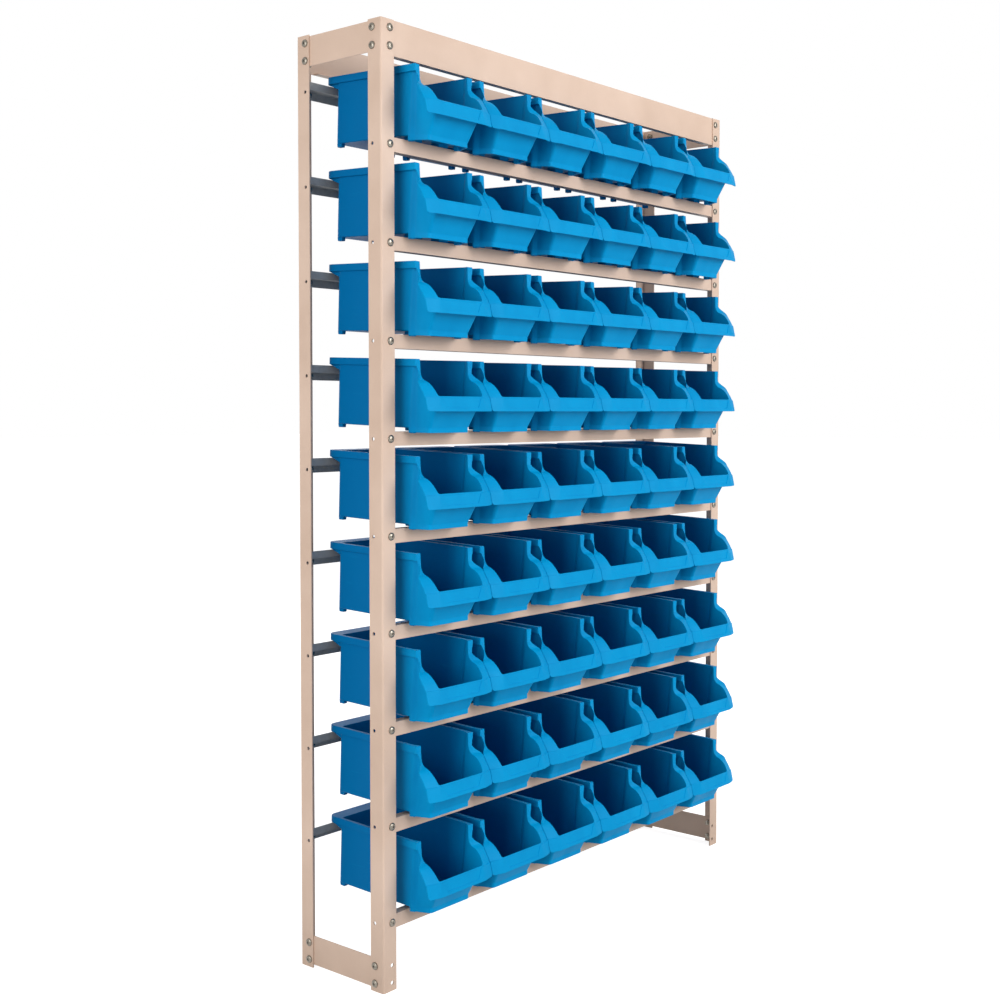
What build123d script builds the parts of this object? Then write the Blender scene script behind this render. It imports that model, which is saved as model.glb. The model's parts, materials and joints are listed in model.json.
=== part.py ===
"""Bin shelving unit: a bolted steel angle frame that carries rows of open-front plastic bins.

Millimetres, +Z up, front facing -Y, origin under the middle of the whole unit on the floor.
Each node of the assembly is written to parts/NODE.step.
"""
import math
import os

from build123d import *

# Frame
unit_height = 1495.0
unit_width = 975.0
unit_depth = 189.0
angle_leg = 28.0
angle_wall = 2.0
angle_bend_radius = 3.0
hole_gauge = 19.0
sheet_wall = 1.2
frame_clearance = 1.0

# Rows and columns of bins, as many as fit between the feet, the header and the uprights
row_pitch = 150.0
column_pitch = 150.0
bottom_row_height = 107.0
top_row_room = 180.0

# Panels between the uprights
header_height = 54.0
header_fold = 12.0
panel_height = 47.0
panel_top_drop = 2.0
panel_foot_gap = 5.0
end_bolt_near = 12.5
end_bolt_far = 40.0

# Rails
rail_wall = 1.5
front_rail_height = 22.0
front_rail_flange = 15.0
rear_rail_height = 24.2
rear_rail_upstand = 10.5
rear_rail_web = 18.0
rear_bolt_edge = 6.5

# Bolts and nuts
bolt_radius = 3.0
bolt_hole_radius = 3.3
bolt_head_radius = 6.2
bolt_head_height = 3.4
bolt_tail = 2.0
nut_across_flats = 10.0
nut_thickness = 5.0
thread_clearance = 0.05
level_hole_radius = 2.8

# Bin body
bin_tilt = 2.1
bin_seat_clearance = 0.3
bin_height = 112.5
bin_wall = 2.4
bin_foot_height = 5.5
bin_width = 127.0
bin_back = 152.0
bin_corner_radius = 6.0
side_toe_share = 0.015
bend_top = 15.0
bend_base = 9.0
knee_top_width = 114.6
knee_base_width = 109.0
knee_top = 22.0
knee_base = 17.0
front_base_reach = 38.4
front_base_width = 89.0
lip_reach = 61.5
lip_height = 54.6
lip_width = 107.0
mitre_share = math.tan(math.radians(45) / 2)

# Bin rim, rear hanging lip and its ribs
rim_width = 133.0
rim_wall = 2.2
rim_skirt = 11.2
rim_bend = 14.0
rim_front = 22.7
rim_nose_width = 115.6
rim_back = 176.0
rim_corner_radius = 9.0
seat_rib_wall = 2.6
seat_rib_spacing = 62.0
seat_rib_depth = 10.8
seat_rib_land = 12.0
end_rib_spacing = 118.0
rib_root_depth = 9.0

# Swept front edge of the bin's sides, and the wings along it
sweep_drop_height = 92.6
sweep_drop_reach = 24.6
sweep_waist_height = 79.6
sweep_waist_reach = 34.0
sweep_belly_height = 71.5
sweep_belly_reach = 49.0
wing_wall = 1.7
wing_waist_width = 121.0

# Label lip across the bin's front
label_width = 149.2
label_drop = 21.4
label_slant = 5.8
label_wall = 2.2
label_flange = 3.0
label_pocket_depth = 1.0
label_pocket_drop = 16.5
label_pocket_top_width = 95.0
label_pocket_base_width = 73.0

# Feet and seat pads under the bin
foot_width = 8.5
foot_length = 11.0
front_foot_spacing = 104.5
front_foot_gap = 3.0
front_foot_drop = 2.6
front_skirt_drop = 1.4
rear_foot_spacing = 114.0
rear_foot_inset = 1.5
pad_width = 22.0
pad_length = 19.0
pad_spacing = 60.0
pad_start = 1.0

# One overrun serves every cut
overrun = 5.0

row_count = 1 + int((unit_height - bottom_row_height - top_row_room) / row_pitch)
column_count = int((unit_width - 2 * angle_leg) / column_pitch)


def row_height(row):
    """Height of a row's front rail, counted from the top row."""
    return bottom_row_height + (row_count - row) * row_pitch


rows = range(1, row_count + 1)
columns = range(1, column_count + 1)
foot_bolt_heights = [end_bolt_near, end_bolt_far]
header_bolt_heights = [unit_height - edge for edge in foot_bolt_heights]
panel_bolt_heights = foot_bolt_heights + header_bolt_heights
top_panel_base = unit_height - panel_top_drop - panel_height
front_bolt_heights = [row_height(row) for row in rows]

# The rear rail's top edge sits just under the land of the bins' seat ribs
tilt_slope = math.tan(math.radians(bin_tilt))
tilt_lift = 1 / math.cos(math.radians(bin_tilt))
seat_land = bin_height - rim_wall - seat_rib_depth
upstand_depth = unit_depth - angle_wall - rear_rail_web
rear_rail_rise = (
    front_rail_height / 2 + (upstand_depth - angle_wall) * tilt_slope + seat_land * tilt_lift
)
rear_rail_base_rise = rear_rail_rise - rear_rail_height
rear_bolt_rise = rear_rail_base_rise + rear_bolt_edge
rear_bolt_heights = [row_height(row) + rear_bolt_rise for row in rows]
panel_inset = angle_wall + sheet_wall + frame_clearance
rail_inset = angle_wall + frame_clearance


def drill(radius, depth, centre, direction):
    """A drill of a radius and depth, centred on a point, along X or Y."""
    turn = Rot(0, 90, 0) if direction == "x" else Rot(90, 0, 0)
    return Pos(*centre) * turn * Cylinder(radius, depth)


def upright(face_heights, level_heights):
    """One angle, its corner on the Z axis, with its face leg along +X and its side leg along +Y."""
    outline = Polyline(
        (0, 0), (angle_leg, 0), (angle_leg, angle_wall), (angle_wall, angle_wall),
        (angle_wall, angle_leg), (0, angle_leg), close=True,
    )
    angle = extrude(make_face(outline), unit_height)
    corner = angle.edges().filter_by(Axis.Z).sort_by_distance((0, 0, unit_height / 2))[0]
    angle = fillet(corner, angle_bend_radius)
    depth = angle_wall + 2 * overrun
    for height in face_heights:
        angle -= drill(bolt_hole_radius, depth, (hole_gauge, angle_wall / 2, height), "y")
    for height in panel_bolt_heights:
        angle -= drill(bolt_hole_radius, depth, (angle_wall / 2, hole_gauge, height), "x")
    for height in level_heights:
        angle -= drill(level_hole_radius, depth, (angle_wall / 2, hole_gauge, height), "x")
    return angle


def uprights():
    """The four angles of the frame, corners outward."""
    front = upright(header_bolt_heights + front_bolt_heights + foot_bolt_heights, front_bolt_heights)
    rear = upright(header_bolt_heights + rear_bolt_heights, rear_bolt_heights)
    front_left = Pos(-unit_width / 2, 0, 0) * front
    rear_left = Pos(-unit_width / 2, unit_depth, 0) * mirror(rear, about=Plane.XZ)
    left = [front_left, rear_left]
    return left + [mirror(angle, about=Plane.YZ) for angle in left]


def header():
    """The front header: a sheet behind the front legs, folded back along its lower edge."""
    length = unit_width - 2 * panel_inset
    base = unit_height - header_height
    face = Pos(0, angle_wall + sheet_wall / 2, base + header_height / 2) * Box(length, sheet_wall, header_height)
    fold_gap = hole_gauge + nut_across_flats
    fold = Pos(0, angle_wall + header_fold / 2, base + sheet_wall / 2) * Box(
        length - 2 * fold_gap, header_fold, sheet_wall
    )
    sheet = face + fold
    for side in (-1, 1):
        for height in header_bolt_heights:
            centre = (side * (unit_width / 2 - hole_gauge), angle_wall + sheet_wall / 2, height)
            sheet -= drill(bolt_hole_radius, sheet_wall + 2 * overrun, centre, "y")
    return sheet


def headers():
    """Front and rear header panels."""
    front = header()
    rear = Pos(0, unit_depth, 0) * mirror(front, about=Plane.XZ)
    return [front, rear]


def side_panel(base):
    """One panel inside the left side legs, its lower edge at a height."""
    length = unit_depth - 2 * panel_inset
    middle = -unit_width / 2 + angle_wall + sheet_wall / 2
    panel = Pos(middle, unit_depth / 2, base + panel_height / 2) * Box(sheet_wall, length, panel_height)
    for height in panel_bolt_heights:
        for depth in (hole_gauge, unit_depth - hole_gauge):
            panel -= drill(bolt_hole_radius, sheet_wall + 2 * overrun, (middle, depth, height), "x")
    return panel


def side_panels():
    """Top and bottom panels on both sides."""
    left = [side_panel(panel_foot_gap), side_panel(top_panel_base)]
    return left + [mirror(panel, about=Plane.YZ) for panel in left]


def extrude_along_x(outline, length):
    """A solid from an outline of (y, z) points or edges, centred on X."""
    return extrude(Plane.YZ * make_face(outline), length / 2, both=True)


def front_rail(height):
    """One channel behind the front legs, open to the rear, its middle at a height."""
    low, high = -front_rail_height / 2, front_rail_height / 2
    front, back = angle_wall, angle_wall + front_rail_flange
    outline = Polyline(
        (front, low), (back, low), (back, low + rail_wall), (front + rail_wall, low + rail_wall),
        (front + rail_wall, high - rail_wall), (back, high - rail_wall), (back, high), (front, high),
        close=True,
    )
    rail = Pos(0, 0, height) * extrude_along_x(outline, unit_width - 2 * rail_inset)
    for side in (-1, 1):
        centre = (side * (unit_width / 2 - hole_gauge), angle_wall + rail_wall / 2, height)
        rail -= drill(bolt_hole_radius, rail_wall + 2 * overrun, centre, "y")
    return rail


def rear_rail(height):
    """One Z section: a leg on the rear uprights, a web reaching forward and an upstand for the bins' lips."""
    back = unit_depth - angle_wall
    front = back - rear_rail_web
    base = rear_rail_base_rise
    web = rear_rail_rise - rear_rail_upstand
    outline = Polyline(
        (back, base), (back, web), (front + rail_wall, web), (front + rail_wall, rear_rail_rise),
        (front, rear_rail_rise), (front, web - rail_wall), (back - rail_wall, web - rail_wall),
        (back - rail_wall, base), close=True,
    )
    rail = Pos(0, 0, height) * extrude_along_x(outline, unit_width - 2 * rail_inset)
    for side in (-1, 1):
        centre = (side * (unit_width / 2 - hole_gauge), back - rail_wall / 2, height + rear_bolt_rise)
        rail -= drill(bolt_hole_radius, rail_wall + 2 * overrun, centre, "y")
    return rail


def bolt(grip):
    """A round-head bolt along +X, its head's seat at the origin, and its nut beyond the grip."""
    crown = (bolt_head_radius**2 + bolt_head_height**2) / (2 * bolt_head_height)
    dome = Pos(crown - bolt_head_height, 0, 0) * Sphere(crown)
    keep = Pos(-bolt_head_height, 0, 0) * Box(
        2 * bolt_head_height, 2 * crown, 2 * crown
    )
    head = dome & keep
    reach = grip + nut_thickness + bolt_tail
    shank = Pos(reach / 2, 0, 0) * Rot(0, 90, 0) * Cylinder(bolt_radius, reach)
    hexagon = RegularPolygon(nut_across_flats / 2, 6, major_radius=False) - Circle(bolt_radius + thread_clearance)
    nut = Pos(grip, 0, 0) * Rot(0, 90, 0) * extrude(hexagon, nut_thickness)
    return [head + shank, nut]


def fasteners():
    """Every bolt and nut of the frame."""
    pieces = []
    panel_set = bolt(angle_wall + sheet_wall)
    rail_set = bolt(angle_wall + rail_wall)
    left = -unit_width / 2
    for height in panel_bolt_heights:
        for depth in (hole_gauge, unit_depth - hole_gauge):
            pieces += [Pos(left, depth, height) * piece for piece in panel_set]
    front_sets = [(height, panel_set) for height in header_bolt_heights]
    front_sets += [(height, rail_set) for height in front_bolt_heights]
    rear_sets = [(height, panel_set) for height in header_bolt_heights]
    rear_sets += [(height, rail_set) for height in rear_bolt_heights]
    for height, hardware in front_sets:
        pieces += [Pos(left + hole_gauge, 0, height) * Rot(0, 0, 90) * piece for piece in hardware]
    for height, hardware in rear_sets:
        pieces += [Pos(left + hole_gauge, unit_depth, height) * Rot(0, 0, -90) * piece for piece in hardware]
    return pieces + [mirror(piece, about=Plane.YZ) for piece in pieces]


def bin_corners(height, inset):
    """The right-hand corners of the bin's plan at a height above its feet, drawn in by an inset."""
    rise_share = (height - bin_foot_height) / (bin_height - bin_foot_height)
    lip_share = (height - bin_foot_height) / (lip_height - bin_foot_height)

    def blend(base, top, share):
        return base + (top - base) * share

    def side(depth):
        return bin_width / 2 - (bin_back - depth) * side_toe_share - inset

    mitre = inset * mitre_share
    back_depth = bin_back - inset
    bend_depth = mitre - blend(bend_base, bend_top, rise_share)
    back = (side(back_depth), back_depth, height)
    bend = (side(bend_depth), bend_depth, height)
    knee = (
        blend(knee_base_width, knee_top_width, rise_share) / 2 - inset,
        mitre - blend(knee_base, knee_top, rise_share),
        height,
    )
    front = (
        blend(front_base_width, lip_width, lip_share) / 2 - inset,
        inset - blend(front_base_reach, lip_reach, lip_share),
        height,
    )
    return [back, bend, knee, front]


def mirrored(points):
    """The same points on the other side of the bin."""
    return [(-x, y, z) for x, y, z in points]


def bin_block(base, inset):
    """The bin's tapered block from a base height to its rim, drawn in by an inset."""
    low, high = bin_corners(base, inset), bin_corners(bin_height, inset)
    side_faces = [[low[0], low[1], high[1], high[0]]]
    for near, far in ((1, 2), (2, 3)):
        side_faces.append([low[near], low[far], high[near]])
        side_faces.append([high[near], low[far], high[far]])
    outlines = [
        low + mirrored(reversed(low)),
        high + mirrored(reversed(high)),
        [low[0], high[0]] + mirrored([high[0], low[0]]),
        [low[-1], high[-1]] + mirrored([high[-1], low[-1]]),
    ]
    outlines += side_faces + [mirrored(face) for face in side_faces]
    faces = [Face(Wire.make_polygon([Vector(*point) for point in outline])) for outline in outlines]
    block = Solid(Shell(faces))
    rear_edges = block.faces().sort_by(Axis.Y)[-1].edges().sort_by(Axis.X)
    return fillet([rear_edges[0], rear_edges[-1]], bin_corner_radius - inset)


def sweep_points():
    """The swept edge's points, from the foot of its straight drop to the lip."""
    return [
        (-sweep_drop_reach, sweep_drop_height),
        (-sweep_waist_reach, sweep_waist_height),
        (-sweep_belly_reach, sweep_belly_height),
        (-lip_reach, lip_height),
    ]


def sweep_mouth():
    """The space in front of the swept sides, as a solid across the bin."""
    drop, waist, belly, lip = sweep_points()
    top = (-rim_front, bin_height + overrun)
    reach = -2 * lip_reach
    edges = [
        Line(top, drop),
        TangentArc(drop, waist, tangent=(drop[0] - top[0], drop[1] - top[1])),
        ThreePointArc(waist, belly, lip),
        Polyline(lip, (reach, lip[1]), (reach, top[1]), top),
    ]
    return extrude_along_x(edges, label_width + 2 * overrun)


def wings():
    """The wings: flanges along the lower swept edges, widening from the waist to the label lip's ends."""
    _, waist, belly, lip = sweep_points()

    def back_of(point):
        return (point[0] + wing_wall, point[1] - wing_wall)

    outline = [
        ThreePointArc(waist, belly, lip),
        Line(lip, back_of(lip)),
        ThreePointArc(back_of(lip), back_of(belly), back_of(waist)),
        Line(back_of(waist), waist),
    ]
    flange = extrude_along_x(outline, label_width)
    low, high = lip_height - wing_wall, sweep_waist_height
    right = [(wing_waist_width / 2, high), (label_width / 2, low)]
    left = [(-x, z) for x, z in reversed(right)]
    taper = extrude(Plane.XZ * make_face(Polyline(*right, *left, close=True)), 2 * lip_reach, both=True)
    return flange & taper


def label_lip():
    """The label lip: a slanted strip hanging from the front wall's top, with a shallow pocket for a label."""
    top = -lip_reach
    toe = top - label_slant
    base = lip_height - label_drop
    outline = Polyline(
        (top + label_flange, lip_height), (top, lip_height), (toe, base), (toe + label_wall, base),
        (top + label_wall, lip_height - label_wall), (top + label_flange, lip_height - label_wall),
        close=True,
    )
    strip = extrude_along_x(outline, label_width)
    face = Plane(origin=(0, top, lip_height), x_dir=(1, 0, 0), z_dir=(0, -label_drop, label_slant))
    spread_share = (label_pocket_top_width - label_pocket_base_width) / (2 * label_pocket_drop)
    right = [
        (label_pocket_top_width / 2 + overrun * spread_share, overrun),
        (label_pocket_base_width / 2, -label_pocket_drop),
    ]
    left = [(-x, y) for x, y in reversed(right)]
    pocket = extrude(face * make_face(Polyline(*right, *left, close=True)), label_pocket_depth, both=True)
    return strip - pocket


def rim():
    """The rim: a flat top round the sides and back with a hanging skirt, bent in at its front ends."""
    def plate(inset, base, top):
        side = rim_width / 2 - inset
        right = [
            (side, rim_back - inset),
            (side, inset * mitre_share - rim_bend),
            (rim_nose_width / 2 - inset * math.sqrt(2), -rim_front),
        ]
        left = [(-x, y) for x, y in reversed(right)]
        sheet = make_face(Polyline(*right, *left, close=True))
        rear_corners = sheet.vertices().sort_by(Axis.Y)[-2:]
        sheet = fillet(rear_corners, rim_corner_radius - inset)
        return Pos(0, 0, base) * extrude(sheet, top - base)

    base = bin_height - rim_skirt
    return plate(0, base, bin_height) - plate(rim_wall, base - overrun, bin_height - rim_wall)


def rear_ribs():
    """Ribs under the rear lip: a pair with a flat land for the rear rail and a pair at the lip's ends."""
    ceiling = bin_height - rim_wall
    back = rim_back - rim_wall
    root = bin_back - bin_wall
    land = bin_height - rim_wall - seat_rib_depth
    seat = Polyline(
        (root, ceiling), (back, ceiling), (back, land), (back - seat_rib_land, land),
        (root, land - rib_root_depth), close=True,
    )
    skirt = bin_height - rim_skirt
    end = Polyline((root, ceiling), (back, ceiling), (back, skirt), (root, skirt - rib_root_depth), close=True)
    ribs = []
    for side in (-1, 1):
        ribs.append(Pos(side * seat_rib_spacing / 2, 0, 0) * extrude_along_x(seat, seat_rib_wall))
        ribs.append(Pos(side * end_rib_spacing / 2, 0, 0) * extrude_along_x(end, seat_rib_wall))
    return ribs


def bin_feet():
    """Four feet and two seat pads under the floor; the front feet hang down before the front rail."""
    top = bin_foot_height + bin_wall

    def block(width, length, drop):
        return Pos(0, 0, (top - drop) / 2) * Box(width, length, top + drop)

    feet = []
    for side in (-1, 1):
        front = Pos(side * front_foot_spacing / 2, -front_foot_gap - foot_length / 2, 0)
        feet.append(front * block(foot_width, foot_length, front_foot_drop))
        rear = Pos(side * rear_foot_spacing / 2, bin_back - rear_foot_inset - foot_length / 2, 0)
        feet.append(rear * block(foot_width, foot_length, 0))
        seat = Pos(side * pad_spacing / 2, pad_start + pad_length / 2, 0)
        feet.append(seat * block(pad_width, pad_length, 0))
    return feet


def front_skirt():
    """The skirt under the front of the floor, ahead of the front rail and open to the rear."""
    def sheet(inset, back):
        corners = [(x, y) for x, y, _ in bin_corners(bin_foot_height, inset)[1:]]
        right = [(corners[0][0], corners[0][1] + back)] + corners
        left = [(-x, y) for x, y in reversed(right)]
        return make_face(Polyline(*right, *left, close=True))

    height = front_skirt_drop + bin_foot_height + bin_wall
    band = extrude(sheet(0, front_foot_gap), height)
    band -= extrude(sheet(bin_wall, front_foot_gap + overrun), height)
    return Pos(0, 0, -front_skirt_drop) * band


def bin_shell():
    """One moulded bin, level on its feet, with the front rail's face at y = 0."""
    body = bin_block(bin_foot_height, 0)
    for piece in bin_feet() + [rim(), front_skirt()] + rear_ribs():
        body += piece
    body -= sweep_mouth()
    body += wings()
    body += label_lip()
    return body - bin_block(bin_foot_height + bin_wall, bin_wall)


def place_bin(shell, row, column):
    """A bin in its row and column, tilted forward on its rails."""
    across = (column - (column_count + 1) / 2) * column_pitch
    seat = row_height(row) + front_rail_height / 2 + bin_seat_clearance
    return Pos(across, angle_wall, seat) * Rot(bin_tilt, 0, 0) * shell


def build_nodes():
    """Every node of the unit by name, with the front legs' face at y = 0."""
    nodes = {
        "uprights": Compound(children=uprights()),
        "headers": Compound(children=headers()),
        "side_panels": Compound(children=side_panels()),
        "front_rails": Compound(children=[front_rail(row_height(row)) for row in rows]),
        "rear_rails": Compound(children=[rear_rail(row_height(row)) for row in rows]),
        "fasteners": Compound(children=fasteners()),
    }
    shell = bin_shell()
    for row in rows:
        for column in columns:
            nodes[f"bin_r{row}_c{column}"] = place_bin(shell, row, column)
    return nodes


def main():
    """Build every node, centre the unit on its origin and write the files."""
    nodes = build_nodes()
    boxes = [shape.bounding_box() for shape in nodes.values()]
    front = min(box.min.Y for box in boxes)
    back = max(box.max.Y for box in boxes)
    os.makedirs("parts", exist_ok=True)
    for name, shape in nodes.items():
        export_step(Pos(0, -(front + back) / 2, 0) * shape, f"parts/{name}.step")


main()
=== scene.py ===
"""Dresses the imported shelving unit: moulded bins, painted frame, hardware, studio light and camera."""
import json
import logging
import math
from dataclasses import dataclass
from enum import Enum
from typing import Sequence

import bmesh
import bpy
from mathutils import Matrix, Vector

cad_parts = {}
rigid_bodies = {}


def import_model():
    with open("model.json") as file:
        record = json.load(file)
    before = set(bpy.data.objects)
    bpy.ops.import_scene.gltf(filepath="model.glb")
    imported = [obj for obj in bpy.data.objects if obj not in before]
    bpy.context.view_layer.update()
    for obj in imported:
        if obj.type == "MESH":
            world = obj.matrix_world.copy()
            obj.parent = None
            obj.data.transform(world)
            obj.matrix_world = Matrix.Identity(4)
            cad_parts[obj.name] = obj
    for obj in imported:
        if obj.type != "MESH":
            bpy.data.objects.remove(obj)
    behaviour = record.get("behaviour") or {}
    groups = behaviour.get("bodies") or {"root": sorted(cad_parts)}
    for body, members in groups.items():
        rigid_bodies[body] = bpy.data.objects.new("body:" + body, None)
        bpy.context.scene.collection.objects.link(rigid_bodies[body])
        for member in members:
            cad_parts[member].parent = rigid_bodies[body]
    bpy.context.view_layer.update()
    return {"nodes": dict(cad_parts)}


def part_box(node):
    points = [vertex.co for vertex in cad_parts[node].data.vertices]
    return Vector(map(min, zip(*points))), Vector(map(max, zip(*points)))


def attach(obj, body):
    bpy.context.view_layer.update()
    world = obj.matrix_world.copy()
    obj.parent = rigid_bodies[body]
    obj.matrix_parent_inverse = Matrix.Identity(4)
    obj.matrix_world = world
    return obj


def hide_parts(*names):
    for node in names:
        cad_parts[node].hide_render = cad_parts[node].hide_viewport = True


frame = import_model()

MM = 0.001
LOG = logging.getLogger("shelving")

# The rows of rails and bins: their number, spacing and lowest bolt height, in millimetres.
ROW_COUNT = 9
ROW_PITCH = 150.0
LOWEST_ROW = 107.0
# A reach beyond any wall, and how near a point counts as being in a place, in millimetres.
FAR = 1000.0
NEAR = 0.5
# The most of a side that a rounded corner takes up.
CORNER_SHARE = 0.45
WHITE = (1.0, 1.0, 1.0, 1.0)

# Sizes, counts, points in plan and in space, and linear colours.
Pair = tuple[float, float]
Row = tuple[float, ...]
Counts = tuple[int, ...]
Plan = tuple[float, float]
Point = tuple[float, float, float]
Colour = tuple[float, float, float, float]


class Slot(Enum):
    """The record's material slots."""

    FRAME = "frame_paint"
    RAIL = "rail_grey"
    ZINC = "zinc"
    BIN = "bin_plastic"


class Side(Enum):
    """The two sides of a symmetrical piece."""

    LEFT = -1
    RIGHT = 1


def shade(red: int, green: int, blue: int) -> Colour:
    """A colour written in screen values, as the linear colour that a socket takes.

    Args:
        red: Red, 0 to 255.
        green: Green, 0 to 255.
        blue: Blue, 0 to 255.

    Returns:
        The linear colour with full alpha.
    """
    def linear(value: int) -> float:
        """One channel, made linear."""
        share = value / 255
        return share / 12.92 if share <= 0.04045 else ((share + 0.055) / 1.055) ** 2.4

    return linear(red), linear(green), linear(blue), 1.0


class Socket:
    """An output socket whose operators add Math nodes to its tree."""

    def __init__(self, tree: "Tree", socket: bpy.types.NodeSocket) -> None:
        """Holds the tree and the socket."""
        self.tree = tree
        self.socket = socket

    def _math(self, operation: str, first: "Socket | float", second: "Socket | float") -> "Socket":
        """One Math node on two values."""
        return self.tree.add("ShaderNodeMath", {"operation": operation}, {0: first, 1: second})

    def __add__(self, other: "Socket | float") -> "Socket":
        """The sum."""
        return self._math("ADD", self, other)

    def __radd__(self, other: "Socket | float") -> "Socket":
        """The sum, from the right."""
        return self._math("ADD", other, self)

    def __sub__(self, other: "Socket | float") -> "Socket":
        """The difference."""
        return self._math("SUBTRACT", self, other)

    def __rsub__(self, other: "Socket | float") -> "Socket":
        """The difference, from the right."""
        return self._math("SUBTRACT", other, self)

    def __mul__(self, other: "Socket | float") -> "Socket":
        """The product."""
        return self._math("MULTIPLY", self, other)

    def __rmul__(self, other: "Socket | float") -> "Socket":
        """The product, from the right."""
        return self._math("MULTIPLY", other, self)

    def at_most(self, other: "Socket | float") -> "Socket":
        """The lesser of the two values."""
        return self._math("MINIMUM", self, other)


class Tree:
    """A node tree that is filled through one method."""

    def __init__(self, owner: bpy.types.Material | bpy.types.World) -> None:
        """Empties the owner's tree.

        Args:
            owner: The material or world.
        """
        owner.use_nodes = True
        self.tree = owner.node_tree
        self.tree.nodes.clear()

    def add(
        self,
        kind: str,
        settings: dict[str, object] | None = None,
        sockets: dict[int | str, object] | None = None,
        out: int | str = 0,
    ) -> Socket:
        """Adds one node.

        Args:
            kind: The node's type.
            settings: Its own settings, set first.
            sockets: Values or links by socket index, identifier or name.
            out: The output to hand back.

        Returns:
            The chosen output.
        """
        node = self.tree.nodes.new(kind)
        for name, value in (settings or {}).items():
            setattr(node, name, value)
        for key, value in (sockets or {}).items():
            socket = self._find(node.inputs, key)
            if isinstance(value, Socket):
                self.tree.links.new(value.socket, socket)
            else:
                socket.default_value = value
        return Socket(self, self._find(node.outputs, out) if node.outputs else None)

    @staticmethod
    def _find(sockets: object, key: int | str) -> bpy.types.NodeSocket:
        """Finds a socket.

        Args:
            sockets: A node's inputs or outputs.
            key: The index, identifier or name.

        Returns:
            The socket.
        """
        if isinstance(key, int):
            return sockets[key]
        return next(s for s in sockets if key in (s.identifier, s.name))

    def place(self) -> Socket:
        """The place on the piece, in its own coordinates."""
        return self.add("ShaderNodeTexCoord", out="Object")

    def noise(self, where: Socket, scale: float, detail: float, roughness: float = 0.5) -> Socket:
        """Noise over a place, about 0.5 on average.

        Args:
            where: The place.
            scale: How fine the noise is.
            detail: The layers of finer noise.
            roughness: The strength of the finer layers.

        Returns:
            The noise.
        """
        return self.add(
            "ShaderNodeTexNoise", None,
            {"Vector": where, "Scale": scale, "Detail": detail, "Roughness": roughness},
        )

    def stretched(self, where: Socket, stretch: Point) -> Socket:
        """A place stretched along its axes."""
        return self.add("ShaderNodeVectorMath", {"operation": "MULTIPLY"}, {0: where, 1: stretch})

    def ramp(self, value: Socket, low: float, high: float) -> Socket:
        """A value spread from 0 to 1 between two limits."""
        sockets = {"Value": value, "From Min": low, "From Max": high}
        return self.add("ShaderNodeMapRange", {"clamp": True}, sockets)

    def mix(self, share: Socket | float, first: Socket | Colour, second: Socket | Colour) -> Socket:
        """A mix of two colours.

        Args:
            share: The second colour's share.
            first: The first colour.
            second: The second colour.

        Returns:
            The mix.
        """
        return self.add(
            "ShaderNodeMix", {"data_type": "RGBA"},
            {"Factor_Float": share, "A_Color": first, "B_Color": second}, "Result_Color",
        )

    def bump(self, height: Socket, depth: float, strength: float) -> Socket:
        """A surface normal raised by a height, its depth in metres."""
        sockets = {"Height": height, "Distance": depth, "Strength": strength}
        return self.add("ShaderNodeBump", None, sockets)

    def surface(self, sockets: dict[int | str, object]) -> None:
        """The principled surface and the material's output."""
        shader = self.add("ShaderNodeBsdfPrincipled", None, sockets)
        self.add("ShaderNodeOutputMaterial", None, {"Surface": shader})


@dataclass(frozen=True)
class PowderCoat:
    """Stoved powder paint on folded sheet steel."""

    name: str = "powder_coat_beige"
    colour: Colour = shade(224, 196, 176)
    deep: Colour = shade(208, 179, 158)
    pale: Colour = shade(232, 208, 190)
    dust: Colour = shade(176, 156, 140)
    cloud_scale: float = 7.0
    speckle_scale: float = 1500.0
    peel_scale: float = 520.0
    peel_depth: float = 0.0003
    dust_height: float = 0.16
    roughness: float = 0.4

    def material(self) -> bpy.types.Material:
        """The paint: cloudy tone, fine speckle, orange peel and a little dust low down.

        Returns:
            The material.
        """
        made = bpy.data.materials.new(self.name)
        tree = Tree(made)
        where = tree.place()
        cloud = tree.ramp(tree.noise(where, self.cloud_scale, 3.0), 0.3, 0.7)
        speckle = tree.ramp(tree.noise(where, self.speckle_scale, 1.0), 0.35, 0.75)
        peel = tree.noise(where, self.peel_scale, 2.0, 0.4)
        height = tree.add("ShaderNodeSeparateXYZ", None, {0: where}, "Z")
        low = tree.ramp(self.dust_height - height + 0.08 * cloud, 0.0, 0.2)
        tone = tree.mix(cloud, self.colour, self.deep)
        tone = tree.mix(speckle * 0.22, tone, self.pale)
        tone = tree.mix(low * 0.3, tone, self.dust)
        tree.surface({
            "Base Color": tone,
            "Roughness": self.roughness + 0.12 * cloud + 0.08 * speckle + 0.12 * low,
            "Normal": tree.bump(peel + 0.3 * speckle, self.peel_depth, 0.35),
        })
        return made


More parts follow.
